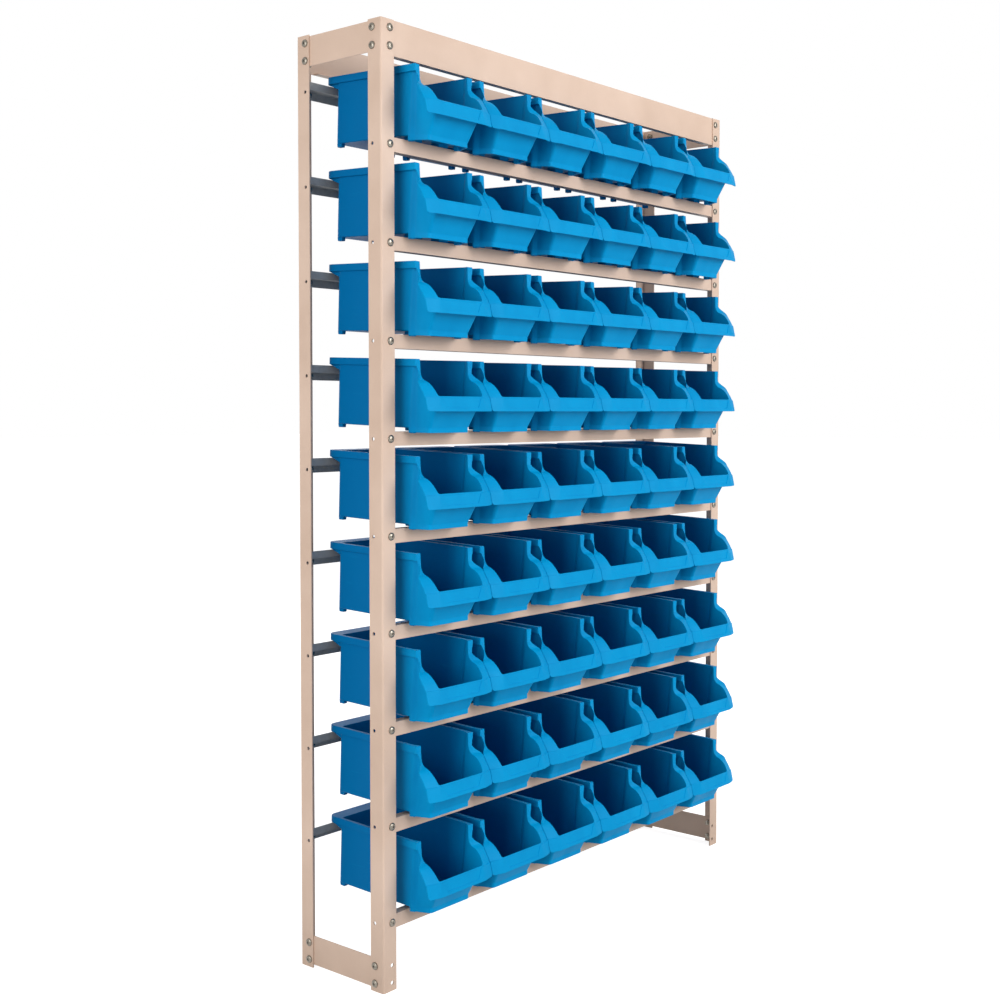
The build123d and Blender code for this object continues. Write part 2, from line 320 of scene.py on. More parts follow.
@dataclass(frozen=True)
class BinPlastic:
    """Injection-moulded blue plastic with a fine satin grain."""

    name: str = "moulded_bin_blue"
    colour: Colour = shade(0, 153, 212)
    deep: Colour = shade(0, 140, 200)
    # Painted shade: this colour, mixed in over the span in y given two lines below, darkens each bin's
    # rear, sides and inside to stand in for the shade that falls there.
    rear: Colour = shade(0, 102, 164)
    pale: Colour = shade(30, 170, 222)
    painted_shade_span: Pair = (-0.03, 0.03)
    own_shift: float = 7.0
    flow_scale: float = 26.0
    scuff_scale: float = 160.0
    grain_scale: float = 1700.0
    grain_depth: float = 0.00012
    roughness: float = 0.36
    gloss: float = 0.05

    def material(self) -> bpy.types.Material:
        """The plastic: flow marks, painted shade that deepens the rear, grain, light scuffs and a change
        from bin to bin.

        Returns:
            The material.
        """
        made = bpy.data.materials.new(self.name)
        tree = Tree(made)
        where = tree.place()
        own = tree.add("ShaderNodeObjectInfo", out="Random")
        shift = {0: where, 1: own * self.own_shift}
        shifted = tree.add("ShaderNodeVectorMath", {"operation": "ADD"}, shift)
        upright = tree.stretched(shifted, (1.0, 1.0, 0.3))
        flow = tree.ramp(tree.noise(upright, self.flow_scale, 3.0), 0.3, 0.7)
        grain = tree.noise(where, self.grain_scale, 2.0)
        drawn = tree.stretched(shifted, (1.0, 0.12, 1.0))
        scuff = tree.ramp(tree.noise(drawn, self.scuff_scale, 4.0, 0.6), 0.62, 0.8)
        depth = tree.add("ShaderNodeSeparateXYZ", None, {0: where}, "Y")
        tone = tree.mix(flow * 0.55 + own * 0.15, self.colour, self.deep)
        # Painted shade: the tone darkens from the front to the rear along y.
        tone = tree.mix(tree.ramp(depth + 0.012 * flow, *self.painted_shade_span) * 0.85, tone, self.rear)
        tone = tree.mix(scuff * 0.12, tone, self.pale)
        tree.surface({
            "Base Color": tone,
            "Specular IOR Level": self.gloss,
            "Roughness": self.roughness + 0.1 * flow + 0.15 * scuff + 0.08 * grain,
            "Normal": tree.bump(grain + 0.4 * flow, self.grain_depth, 0.5),
        })
        return made


@dataclass(frozen=True)
class RailSteel:
    """Grey galvanised steel with a faint spangle and rolling lines."""

    name: str = "galvanised_rail_grey"
    colour: Colour = shade(172, 171, 168)
    deep: Colour = shade(146, 145, 142)
    pale: Colour = shade(196, 195, 192)
    cell_scale: float = 190.0
    line_scale: float = 900.0
    line_depth: float = 0.0001
    dull_scale: float = 22.0
    roughness: float = 0.38

    def material(self) -> bpy.types.Material:
        """The steel: spangle cells, lines along the rail and dull patches.

        Returns:
            The material.
        """
        made = bpy.data.materials.new(self.name)
        tree = Tree(made)
        where = tree.place()
        sockets = {"Vector": where, "Scale": self.cell_scale}
        cells = tree.add("ShaderNodeTexVoronoi", None, sockets, "Color")
        spangle = tree.add("ShaderNodeSeparateColor", None, {0: cells}, "Red")
        lines = tree.noise(tree.stretched(where, (0.02, 1.0, 1.0)), self.line_scale, 2.0)
        dull = tree.ramp(tree.noise(where, self.dull_scale, 3.0), 0.35, 0.7)
        tone = tree.mix(dull * 0.8, self.colour, self.deep)
        tone = tree.mix(spangle * 0.3, tone, self.pale)
        tree.surface({
            "Base Color": tone,
            "Metallic": 0.1 + 0.15 * spangle,
            "Roughness": self.roughness + 0.14 * dull + 0.1 * lines,
            "Normal": tree.bump(lines + 0.5 * spangle, self.line_depth, 0.4),
        })
        return made


@dataclass(frozen=True)
class ZincPlate:
    """Zinc plating on bolts and nuts, dulled by handling."""

    name: str = "bright_zinc_plate"
    colour: Colour = shade(140, 134, 124)
    tint: Colour = shade(88, 80, 70)
    spot_scale: float = 300.0
    scratch_scale: float = 2600.0
    scratch_depth: float = 0.00005
    roughness: float = 0.2

    def material(self) -> bpy.types.Material:
        """The plating: a faint warm tint, fine scratches and dull spots.

        Returns:
            The material.
        """
        made = bpy.data.materials.new(self.name)
        tree = Tree(made)
        where = tree.place()
        spots = tree.ramp(tree.noise(where, self.spot_scale, 3.0), 0.4, 0.7)
        scratch = tree.noise(tree.stretched(where, (1.0, 1.0, 0.1)), self.scratch_scale, 2.0)
        tree.surface({
            "Base Color": tree.mix(spots * 0.6, self.colour, self.tint),
            "Metallic": 1.0 - 0.15 * spots,
            "Roughness": self.roughness + 0.16 * spots + 0.08 * scratch,
            "Normal": tree.bump(scratch, self.scratch_depth, 0.3),
        })
        return made


def mesh_of(
    name: str, points: Sequence[Sequence[float]], faces: Sequence[Sequence[int]]
) -> bpy.types.Mesh:
    """A closed mesh from points in millimetres, its faces turned outward.

    Args:
        name: The mesh's name.
        points: The points.
        faces: Each face's point numbers.

    Returns:
        The mesh, in metres.
    """
    made = bpy.data.meshes.new(name)
    made.from_pydata([tuple(MM * value for value in point) for point in points], [], faces)
    work = bmesh.new()
    work.from_mesh(made)
    bmesh.ops.recalc_face_normals(work, faces=work.faces)
    work.to_mesh(made)
    work.free()
    return made


def tube(
    rings: Sequence[Sequence[Sequence[float]]], capped: bool = True
) -> tuple[list[Sequence[float]], list[list[int]]]:
    """Points and faces of a bar through rings of equal length.

    Args:
        rings: The rings of points, in order along the bar.
        capped: Whether each end gets a face.

    Returns:
        The points and the faces.
    """
    size = len(rings[0])
    last = (len(rings) - 1) * size
    points = [point for ring in rings for point in ring]
    faces = [list(range(size)), list(range(last, last + size))] if capped else []
    for start in range(0, last, size):
        for i in range(size):
            j = (i + 1) % size
            faces.append([start + i, start + j, start + size + j, start + size + i])
    return points, faces


def mirrored(rings: Sequence[Sequence[Point]]) -> list[list[Point]]:
    """The rings' mirror image across the middle plane."""
    return [[(-x, y, z) for x, y, z in ring] for ring in rings]


def linked(name: str, data: bpy.types.ID) -> bpy.types.Object:
    """Puts a new object in the scene.

    Args:
        name: The object's name.
        data: Its mesh, lamp or camera.

    Returns:
        The object.
    """
    made = bpy.data.objects.new(name, data)
    bpy.context.scene.collection.objects.link(made)
    return made


def modify(piece: bpy.types.Object, modifiers: Sequence[tuple[str, dict[str, object]]]) -> None:
    """Gives an object some modifiers.

    Args:
        piece: The object.
        modifiers: Each modifier's type and settings.
    """
    for kind, settings in modifiers:
        modifier = piece.modifiers.new(kind.lower(), kind)
        for name, value in settings.items():
            setattr(modifier, name, value)


def worked(
    mesh: bpy.types.Mesh, modifiers: Sequence[tuple[str, dict[str, object]]]
) -> bpy.types.Mesh:
    """A new mesh: the given one after some modifiers.

    Args:
        mesh: The mesh to start from.
        modifiers: Each modifier's type and settings.

    Returns:
        The worked mesh.
    """
    holder = linked("work", mesh)
    modify(holder, modifiers)
    graph = bpy.context.evaluated_depsgraph_get()
    made = bpy.data.meshes.new_from_object(holder.evaluated_get(graph), depsgraph=graph)
    bpy.data.objects.remove(holder)
    return made


def softened(mesh: bpy.types.Mesh, radius: float) -> bpy.types.Mesh:
    """A new mesh: the given one with its sharp edges rounded.

    Args:
        mesh: The mesh.
        radius: The edges' radius in millimetres.

    Returns:
        The rounded mesh.
    """
    settings = {
        "width": radius * MM, "segments": 2, "limit_method": "ANGLE",
        "angle_limit": math.radians(40), "use_clamp_overlap": True,
    }
    return worked(mesh, [("BEVEL", settings)])


def joined(name: str, meshes: Sequence[bpy.types.Mesh]) -> bpy.types.Mesh:
    """One mesh: the union of several closed ones.

    Args:
        name: The new mesh's name.
        meshes: The meshes, the main one first.

    Returns:
        The union.
    """
    group = bpy.data.collections.new(name + "_pieces")
    bpy.context.scene.collection.children.link(group)
    for mesh in meshes[1:]:
        group.objects.link(bpy.data.objects.new(mesh.name, mesh))
    settings = {
        "operation": "UNION", "operand_type": "COLLECTION", "collection": group, "solver": "EXACT",
    }
    made = worked(meshes[0], [("BOOLEAN", settings)])
    for piece in list(group.objects):
        bpy.data.objects.remove(piece)
    bpy.data.collections.remove(group)
    made.name = name
    return made


def cut(mesh: bpy.types.Mesh, tool: bpy.types.Mesh) -> bpy.types.Mesh:
    """A new mesh: the given one with a closed tool taken out of it.

    Args:
        mesh: The mesh to cut.
        tool: The closed mesh to take out of it.

    Returns:
        What is left.
    """
    holder = linked(tool.name, tool)
    settings = {"operation": "DIFFERENCE", "object": holder, "solver": "EXACT"}
    made = worked(mesh, [("BOOLEAN", settings)])
    bpy.data.objects.remove(holder)
    return made


def cleaned(mesh: bpy.types.Mesh, reach: float = 0.02) -> bpy.types.Mesh:
    """Takes the slivers out of a mesh.

    Args:
        mesh: The mesh, changed in place.
        reach: Points closer than this, in millimetres, become one.

    Returns:
        The same mesh, without pairs of faces that lie folded on each other.
    """
    work = bmesh.new()
    work.from_mesh(mesh)
    bmesh.ops.remove_doubles(work, verts=work.verts, dist=reach * MM)
    bmesh.ops.dissolve_degenerate(work, edges=work.edges, dist=reach * MM)
    bmesh.ops.triangulate(work, faces=[face for face in work.faces if len(face.verts) > 4])
    known: dict[frozenset[bmesh.types.BMVert], bmesh.types.BMFace] = {}
    folded: set[bmesh.types.BMFace] = set()
    for face in work.faces:
        key = frozenset(face.verts)
        if key in known:
            folded |= {face, known[key]}
        known[key] = face
    bmesh.ops.delete(work, geom=list(folded), context="FACES")
    work.to_mesh(mesh)
    work.free()
    return mesh


def smoothed(mesh: bpy.types.Mesh, angle: float = 42.0) -> bpy.types.Mesh:
    """The mesh with soft shading inside its sharp edges.

    Args:
        mesh: The mesh.
        angle: Edges that turn by more than this, in degrees, stay sharp.

    Returns:
        The shaded mesh.
    """
    mesh.polygons.foreach_set("use_smooth", [True] * len(mesh.polygons))
    mesh.set_sharp_from_angle(angle=math.radians(angle))
    return worked(mesh, [("WEIGHTED_NORMAL", {"keep_sharp": True, "weight": 50})])


def rounded(corners: Sequence[Plan], radii: Sequence[float], steps: Sequence[int]) -> list[list[Plan]]:
    """The inner corners of an open line, each as a rounded run of points.

    Args:
        corners: The line's points, with its two ends.
        radii: One radius for each inner corner.
        steps: The steps of each rounding.

    Returns:
        One list of points for each inner corner.
    """
    runs = []
    for i, (radius, count) in enumerate(zip(radii, steps), start=1):
        corner = Vector(corners[i])
        back, ahead = Vector(corners[i - 1]) - corner, Vector(corners[i + 1]) - corner
        half = back.angle(ahead) / 2
        most = CORNER_SHARE * min(back.length, ahead.length)
        reach = min(radius / math.tan(half), most)
        start, end = corner + back.normalized() * reach, corner + ahead.normalized() * reach
        run = []
        for step in range(count + 1):
            share = step / count
            point = start * (1 - share) ** 2 + corner * (2 * share * (1 - share)) + end * share**2
            run.append((point.x, point.y))
        runs.append(run)
    return runs


@dataclass
class BinMould:
    """One moulded bin, level on its feet, in millimetres, with the front rail's face at y = 0.

    A pair of sizes belongs to the low and the high end of a wall. The rows of wing_edge hold a height
    and the wing's x and y there, and those of foot_plan a foot's middle, width, front, rear and
    underside. Sizes named soft are the radii of rounded edges, and those named bite reach into a
    neighbour, so that the pieces join.
    """

    height: float = 112.5
    cover: float = 1.1
    wall: float = 2.4
    floor: float = 5.5
    width: float = 127.0
    back: float = 152.0
    toe_share: float = 0.015
    mitre: float = 22.5
    bend: Pair = (9.0, 15.0)
    knee: Pair = (17.0, 22.0)
    knee_width: Pair = (109.0, 114.6)
    front: Pair = (38.4, 61.5)
    front_width: Pair = (89.0, 107.0)
    corner_radii: Row = (9.0, 9.0, 9.0, 7.0)
    corner_steps: Counts = (6, 3, 3, 4)
    lip: float = 54.6
    panel_span: Pair = (0.002, 0.985)
    wall_rows: Row = (0.0, 0.3, 0.65, 1.0)
    bend_turns: Row = (0.0, 45.0)
    base_radius: float = 2.0
    floor_radius: float = 3.0
    search_room: float = 6.0
    search_steps: int = 24
    shell_soft: float = 0.8
    sweep_top: Plan = (-22.7, 117.5)
    sweep_drop: Plan = (-24.6, 92.6)
    sweep_waist: Plan = (-34.0, 79.6)
    sweep_belly: Plan = (-49.0, 71.5)
    sweep_rows: Row = (0.0, 0.24, 0.62)
    waist_steps: int = 5
    belly_steps: int = 10
    rim_width: float = 133.0
    rim_wall: float = 2.2
    rim_skirt: float = 11.2
    rim_back: float = 176.0
    rim_front: float = 24.4
    rim_toe: float = 0.5
    rim_radius: float = 15.0
    rim_rows: Row = (0.8, 0.85, 0.9, 0.95, 1.0)
    rim_bite: float = 0.4
    rim_inner_radii: Pair = (6.5, 9.0)
    rim_steps: Counts = (7, 3)
    rim_tuck: float = 1.6
    rim_soft: float = 0.75
    wing_edge: tuple[Point, ...] = (
        (112.0, 65.5, -24.4), (102.5, 64.5, -24.8), (98.0, 60.0, -25.2), (91.0, 60.5, -28.5),
        (86.0, 64.5, -33.0), (80.5, 72.0, -37.5), (77.0, 74.6, -39.8), (71.5, 74.6, -43.2),
        (62.0, 74.6, -50.0), (50.0, 74.6, -57.0),
    )
    wing_wall: float = 1.7
    wing_drop: float = 1.0
    wing_bite: float = 0.15
    wing_rise: float = 0.25
    wing_soft: float = 0.55
    label_width: float = 149.2
    label_drop: float = 21.4
    label_slant: float = 5.8
    label_wall: float = 2.2
    label_rise: float = 0.12
    label_radius: float = 4.0
    label_steps: int = 5
    label_soft: float = 0.35
    ear_sweep: float = 0.26
    ear_root: float = 52.0
    pocket_corners: tuple[Plan, Plan] = ((50.8, -5.0), (36.5, 16.5))
    pocket_depth: float = 1.0
    skirt_rows: Row = (0.5,)
    skirt_foot: float = -1.4
    skirt_bite: Pair = (2.6, 2.1)
    skirt_soft: float = 0.7
    foot_plan: tuple[Row, ...] = (
        (52.25, 8.5, -14.0, -3.0, -2.6), (57.0, 8.5, 139.5, 150.5, 0.0), (30.0, 22.0, 1.0, 20.0, 0.0),
    )
    foot_bite: float = 1.3
    foot_taper: float = 0.5
    foot_soft: float = 0.9
    rib_places: Pair = (31.0, 59.0)
    rib_half: float = 1.3
    rib_bite: float = 1.2
    rib_slope: float = 9.0
    rib_soft: float = 0.35
    land_drop: float = 10.8
    land_front: float = 14.2
    end_rib_bite: float = 0.4
    tilt: float = 2.1

    @property
    def ceiling(self) -> float:
        """The height inside the rim's top at which walls and ribs end."""
        return self.height - self.cover

    def corners(self, z: float, inset: float) -> list[Plan]:
        """The corners of the plan's right half at a height.

        Args:
            z: The height.
            inset: How far the plan is drawn in.

        Returns:
            The corners from the back's middle to the front's.
        """
        rise = (z - self.floor) / (self.height - self.floor)
        lift = (z - self.floor) / (self.lip - self.floor)

        def between(pair: Pair, share: float) -> float:
            """A value between a low and a high one."""
            return pair[0] + (pair[1] - pair[0]) * share

        def side(y: float) -> float:
            """Half the width between the side walls at a depth."""
            return self.width / 2 - (self.back - y) * self.toe_share - inset

        mitre = inset * math.tan(math.radians(self.mitre))
        rear = self.back - inset
        bend = mitre - between(self.bend, rise)
        nose = inset - between(self.front, lift)
        return [
            (0.0, rear),
            (side(rear), rear),
            (side(bend), bend),
            (between(self.knee_width, rise) / 2 - inset, mitre - between(self.knee, rise)),
            (between(self.front_width, lift) / 2 - inset, nose),
            (0.0, nose),
        ]

    def runs(self, z: float, inset: float) -> list[list[Plan]]:
        """The rounded rear, bend, knee and front corners of the plan's right half at a height.

        Args:
            z: The height.
            inset: How far the plan is drawn in.

        Returns:
            One run of points for each corner.
        """
        rear, bend, knee, front = self.corner_radii
        radii = (rear - inset, bend, knee, front - inset)
        return rounded(self.corners(z, inset), radii, self.corner_steps)

    def outline(self, z: float, inset: float, shares: Sequence[float]) -> list[Plan]:
        """The right half's columns at a height: rounded corners, and points over the swept panel.

        Args:
            z: The height.
            inset: How far the outline is drawn in.
            shares: Where the panel's columns stand between the knee and the front corner.

        Returns:
            The points from the rear corner to the front one.
        """
        rear, bend, knee, front = self.runs(z, inset)
        start, end = Vector(knee[-1]), Vector(front[0])
        panel = [tuple(start.lerp(end, share)) for share in shares]
        return rear + bend + knee + panel + front

    def sweep(self) -> list[Plan]:
        """The swept front edge, from above the rim down to the lip.

        Returns:
            Its (y, z) points.
        """
        top, drop, waist = (Vector(at) for at in (self.sweep_top, self.sweep_drop, self.sweep_waist))
        line = [top.lerp(drop, share) for share in self.sweep_rows]
        heading = math.atan2(drop.y - top.y, drop.x - top.x)
        chord = waist - drop
        turn = math.atan2(chord.y, chord.x) - heading
        radius = chord.length / (2 * math.sin(turn))
        for step in range(self.waist_steps + 1):
            swing = step / self.waist_steps * turn
            reach = 2 * radius * math.sin(swing)
            line.append(drop + Vector((math.cos(heading + swing), math.sin(heading + swing))) * reach)
        line += self.belly_line()[1:]
        return [(point.x, point.y) for point in line]

    def belly_line(self) -> list[Vector]:
        """The lower part of the swept edge, an arc from the waist to the lip.

        Returns:
            Its (y, z) points.
        """
        waist, lip = Vector(self.sweep_waist), Vector((-self.front[1], self.lip))
        bulge = Vector(self.sweep_belly) - waist.lerp(lip, 0.5)
        line = []
        for step in range(self.belly_steps + 1):
            share = step / self.belly_steps
            line.append(waist.lerp(lip, share) + bulge * (4 * share * (1 - share)))
        return line

    def sweep_at(self, z: float) -> float:
        """How far forward the sides reach.

        Args:
            z: The height.

        Returns:
            The swept edge's y, or one far ahead below the lip.
        """
        line = self.sweep()
        if z <= line[-1][1]:
            return -FAR
        for (y0, z0), (y1, z1) in zip(line, line[1:]):
            if z1 <= z <= z0:
                return y0 + (y1 - y0) * (z0 - z) / (z0 - z1)
        return line[0][0]

    def panel_shares(self, limit: float) -> list[float]:
        """Where the swept panel's columns stand, so that their tops follow the swept edge.

        Args:
            limit: The greatest height, under the rim.

        Returns:
            Their shares of the way from the knee to the front corner.
        """
        line = [(self.sweep_at(limit), limit)]
        line += [point for point in self.sweep() if point[1] < limit]
        least, most = self.panel_span
        shares = []
        for y, z in line:
            knee, front = self.runs(z, 0)[2:]
            share = (y - knee[-1][1]) / (front[0][1] - knee[-1][1])
            if least < share < most:
                shares.append(share)
        return sorted(shares)

    def tops(self, inset: float, shares: Sequence[float], limit: float) -> list[float]:
        """Where the columns of an outline end.

        Args:
            inset: How far the outline is drawn in.
            shares: Where the panel's columns stand.
            limit: The greatest height, under the rim.

        Returns:
            The height at which each column meets the swept edge or the limit.
        """
        def stands(column: int, z: float) -> bool:
            """Whether a column is behind the swept edge at a height."""
            return self.outline(z, inset, shares)[column][1] >= self.sweep_at(z)

        found = []
        for column in range(len(self.outline(limit, inset, shares))):
            low, high = self.lip - self.search_room, limit
            if stands(column, limit):
                found.append(limit)
                continue
            for _ in range(self.search_steps):
                middle = (low + high) / 2
                if stands(column, middle):
                    low = middle
                else:
                    high = middle
            found.append(low)
        return found

    def shell(self) -> bpy.types.Mesh:
        """The body: walls and floor, rounded along its bottom and its inner floor edge.

        Returns:
            The mesh.
        """
        limit = self.ceiling
        shares = self.panel_shares(limit)
        count = len(self.outline(limit, 0, shares))
        rows: list[list[Point]] = []

        def add_row(heights: Sequence[float], inset: float) -> None:
            """Adds one row of columns all round, right half first.

            Args:
                heights: A height for each column of the right half.
                inset: How far the row is drawn in.
            """
            right = []
            for column, z in enumerate(heights):
                x, y = self.outline(z, inset, shares)[column]
                right.append((x, y, z))
            rows.append(right + [(-x, y, z) for x, y, z in reversed(right)])

        def add_bend(turns: Sequence[float], z: float, inset: float, radius: float) -> None:
            """Adds the rows round a floor's edge.

            Args:
                turns: The rows' places on the rounding, in degrees.
                z: The floor's height.
                inset: How far the wall is drawn in.
                radius: The rounding's radius.
            """
            for turn in turns:
                swing = math.radians(turn)
                height = z + radius * (1 - math.cos(swing))
                add_row([height] * count, inset + radius * (1 - math.sin(swing)))

        def add_wall(steps: Sequence[float], z: float, inset: float) -> None:
            """Adds the rows between a height and the columns' tops.

            Args:
                steps: The rows' shares of the way up.
                z: The lowest height.
                inset: How far the wall is drawn in.
            """
            tops = self.tops(inset, shares, limit)
            for step in steps:
                add_row([z + (top - z) * step for top in tops], inset)

        inside = self.floor + self.wall
        add_bend(self.bend_turns, self.floor, 0.0, self.base_radius)
        add_wall(self.wall_rows, self.floor + self.base_radius, 0.0)
        add_wall(self.wall_rows[::-1], inside + self.floor_radius, self.wall)
        add_bend(self.bend_turns[::-1], inside, self.wall, self.floor_radius)
        points, faces = tube(rows, capped=False)
        size = 2 * count
        for first in (0, (len(rows) - 1) * size):
            for i in range(count - 1):
                faces.append([first + i, first + i + 1, first + size - 2 - i, first + size - 1 - i])
        return softened(mesh_of("bin_shell", points, faces), self.shell_soft)

    def rim(self) -> bpy.types.Mesh:
        """The rim: a flat top with a hanging skirt, round at the rear and straight to its front ends.

        Returns:
            The mesh.
        """
        def line(inset: float) -> list[Plan]:
            """The rim's right half.

            Args:
                inset: How far it is drawn in.

            Returns:
                Its points from the rear to the front.
            """
            half, rear = self.rim_width / 2 - inset, self.rim_back - inset
            nose = Vector((half - self.rim_toe, -self.rim_front))
            bent = [(0.0, rear), (half, rear), tuple(nose)]
            run = rounded(bent, (self.rim_radius - inset,), self.rim_steps[:1])[0]
            start = Vector(run[-1])
            return run + [tuple(start.lerp(nose, share)) for share in self.rim_rows]

        corners = self.corners(self.ceiling, self.wall + self.rim_bite)[:4]
        rear_run, bend_run = rounded(corners, self.rim_inner_radii, self.rim_steps)
        wall = rear_run + bend_run + [(corners[3][0], self.rim_tuck - self.rim_front)]
        low, under = self.height - self.rim_skirt, self.height - self.rim_wall
        rings = []
        for outer, skirt, inner in zip(line(0.0), line(self.rim_wall), wall):
            rings.append([
                (*inner, self.height), (*outer, self.height), (*outer, low),
                (*skirt, low), (*skirt, under), (*inner, under),
            ])
        return softened(mesh_of("bin_rim", *tube(rings[::-1] + mirrored(rings))), self.rim_soft)

    def panel_x(self, y: float, z: float, inset: float) -> float:
        """Half the width between the swept panels.

        Args:
            y: The depth.
            z: The height.
            inset: How far the plan is drawn in.

        Returns:
            The half width.
        """
        knee, front = self.corners(z, inset)[3:5]
        share = min(max((y - knee[1]) / (front[1] - knee[1]), 0.0), 1.0)
        return knee[0] + (front[0] - knee[0]) * share

    def wing_at(self, z: float) -> Vector:
        """The wing's outer edge.

        Args:
            z: The height.

        Returns:
            The edge's (x, y).
        """
        for (z0, x0, y0), (z1, x1, y1) in zip(self.wing_edge, self.wing_edge[1:]):
            if z >= z1:
                share = min(max((z0 - z) / (z0 - z1), 0.0), 1.0)
                return Vector((x0, y0)).lerp(Vector((x1, y1)), share)
        return Vector(self.wing_edge[-1][1:])

    def wing(self, side: Side) -> bpy.types.Mesh:
        """One wing: a leaf along the swept edge, from the rim's front end to the label strip's end.

        Args:
            side: The bin's side.

        Returns:
            The mesh.
        """
        start = self.height - self.wing_drop
        line = [Vector((self.sweep_at(start), start))]
        line += [Vector(point) for point in self.sweep() if point[1] < start - self.wing_drop]
        rings = []
        for i, point in enumerate(line):
            ends = line[max(i - 1, 0)], line[min(i + 1, len(line) - 1)]
            rim = [Vector((self.wing_at(end.y).y, end.y)) for end in ends]
            normals = []
            for first, second in (ends, rim):
                along = (second - first).normalized()
                normals.append(Vector((along.y, -along.x)))
            root = self.panel_x(point.x, point.y, self.wall) - self.wing_bite
            outer = self.wing_at(point.y)
            ring = []
            edges = ((root, point), (outer.x, Vector((outer.y, point.y))))
            for (x, edge), normal in zip(edges, normals):
                top, low = edge + normal * self.wing_rise, edge - normal * self.wing_wall
                ring.append([(side.value * x, top.x, top.y), (side.value * x, low.x, low.y)])
            rings.append([ring[0][0], ring[1][0], ring[1][1], ring[0][1]])
        return softened(mesh_of("bin_wing", *tube(rings)), self.wing_soft)

    def label(self) -> bpy.types.Mesh:
        """The slanted label strip: ears swept back, round lower corners and a shallow pocket.

        Returns:
            The mesh.
        """
        half, top, wall = self.label_width / 2, -self.front[1], self.label_wall
        toe, base = top - self.label_slant, self.lip - self.label_drop
        crest = self.lip + self.label_rise
        profile = [(top, crest), (toe, base), (toe + wall, base), (top + wall, crest)]
        rings = []
        for x in (-half, -self.ear_root, self.ear_root, half):
            sweep = self.ear_sweep * (abs(x) - self.ear_root)
            rings.append([(x, y + sweep, z) for y, z in profile])
        made = mesh_of("bin_label", *tube(rings))
        work = bmesh.new()
        work.from_mesh(made)
        far, low = MM * (half - NEAR), MM * (base + NEAR)
        ends = [
            edge for edge in work.edges
            if all(abs(vertex.co.x) > far and vertex.co.z < low for vertex in edge.verts)
        ]
        bmesh.ops.bevel(
            work, geom=ends, offset=self.label_radius * MM, segments=self.label_steps,
            affect="EDGES", profile=0.5,
        )
        work.to_mesh(made)
        work.free()
        return softened(cut(made, self.pocket()), self.label_soft)

    def pocket(self) -> bpy.types.Mesh:
        """The tool that cuts the label pocket: a flat trapezoid astride the strip's face.

        Returns:
            The mesh.
        """
        down = Vector((0.0, -self.label_slant, -self.label_drop)).normalized()
        out = Vector((0.0, -self.label_drop, self.label_slant)).normalized()
        origin = Vector((0.0, -self.front[1], self.lip))
        (wide, above), (narrow, below) = self.pocket_corners
        corners = ((wide, above), (narrow, below), (-narrow, below), (-wide, above))
        rings = [
            [tuple(origin + Vector((x, 0.0, 0.0)) + down * run + out * level) for x, run in corners]
            for level in (-self.pocket_depth, self.pocket_depth)
        ]
        return mesh_of("label_pocket", *tube(rings))

    def skirt(self) -> bpy.types.Mesh:
        """The skirt under the front of the floor, ahead of the front rail and open to the rear.

        Returns:
            The mesh.
        """
        start = self.corner_steps[0] + 2
        outer, inner = (
            self.outline(self.floor, inset, self.skirt_rows)[start:] for inset in (0.0, self.wall)
        )
        foot = self.skirt_foot
        outer_top, inner_top = (self.floor + bite for bite in self.skirt_bite)
        rings = []
        for (x, y), (a, b) in zip(outer, inner):
            rings.append([(x, y, foot), (x, y, outer_top), (a, b, inner_top), (a, b, foot)])
        made = mesh_of("bin_skirt", *tube(rings + mirrored(rings[::-1])))
        return softened(made, self.skirt_soft)

    def foot(self, low: Point, high: Point) -> bpy.types.Mesh:
        """A rounded block between two corners, drawn in at its underside.

        Args:
            low: The low, left, front corner.
            high: The high, right, rear corner.

        Returns:
            The mesh.
        """
        rings = []
        for z, inset in ((low[2], self.foot_taper), (high[2], 0.0)):
            left, right = low[0] + inset, high[0] - inset
            near, far = low[1] + inset, high[1] - inset
            rings.append([(left, near, z), (right, near, z), (right, far, z), (left, far, z)])
        return softened(mesh_of("bin_foot", *tube(rings)), self.foot_soft)

    def feet(self) -> list[bpy.types.Mesh]:
        """Four feet and two seat pads; the front feet hang down before the front rail.

        Returns:
            The meshes.
        """
        top = self.floor + self.foot_bite
        made = []
        for side in Side:
            for across, wide, start, end, low in self.foot_plan:
                left, right = side.value * across - wide / 2, side.value * across + wide / 2
                made.append(self.foot((left, start, low), (right, end, top)))
        return made

    def ribs(self) -> list[bpy.types.Mesh]:
        """Ribs under the rear lip: a pair with a land for the rear rail and a pair at the ends.

        Returns:
            The meshes.
        """
        ceiling, back, root = self.ceiling, self.rim_back - self.cover, self.back - self.rib_bite
        land = self.height - self.rim_wall - self.land_drop
        step = self.rim_back - self.land_front
        skirt = self.height - self.rim_skirt + self.end_rib_bite
        top = [(root, ceiling), (back, ceiling)]
        seat = top + [(back, land), (step, land), (root, land - self.rib_slope)]
        end = top + [(back, skirt), (root, skirt - self.rib_slope)]
        made = []
        for side in Side:
            for across, profile in zip(self.rib_places, (seat, end)):
                middle = side.value * across
                rings = [
                    [(middle + offset, y, z) for y, z in profile]
                    for offset in (-self.rib_half, self.rib_half)
                ]
                made.append(softened(mesh_of("bin_rib", *tube(rings)), self.rib_soft))
        return made

    def build(self) -> bpy.types.Mesh:
        """The whole bin as one closed mesh, in metres.

        Returns:
            The mesh.
        """
        pieces = [self.shell(), self.rim(), self.label(), self.skirt()]
        pieces += [self.wing(side) for side in Side]
        pieces += self.feet() + self.ribs()
        return smoothed(cleaned(joined("moulded_bin", pieces)))


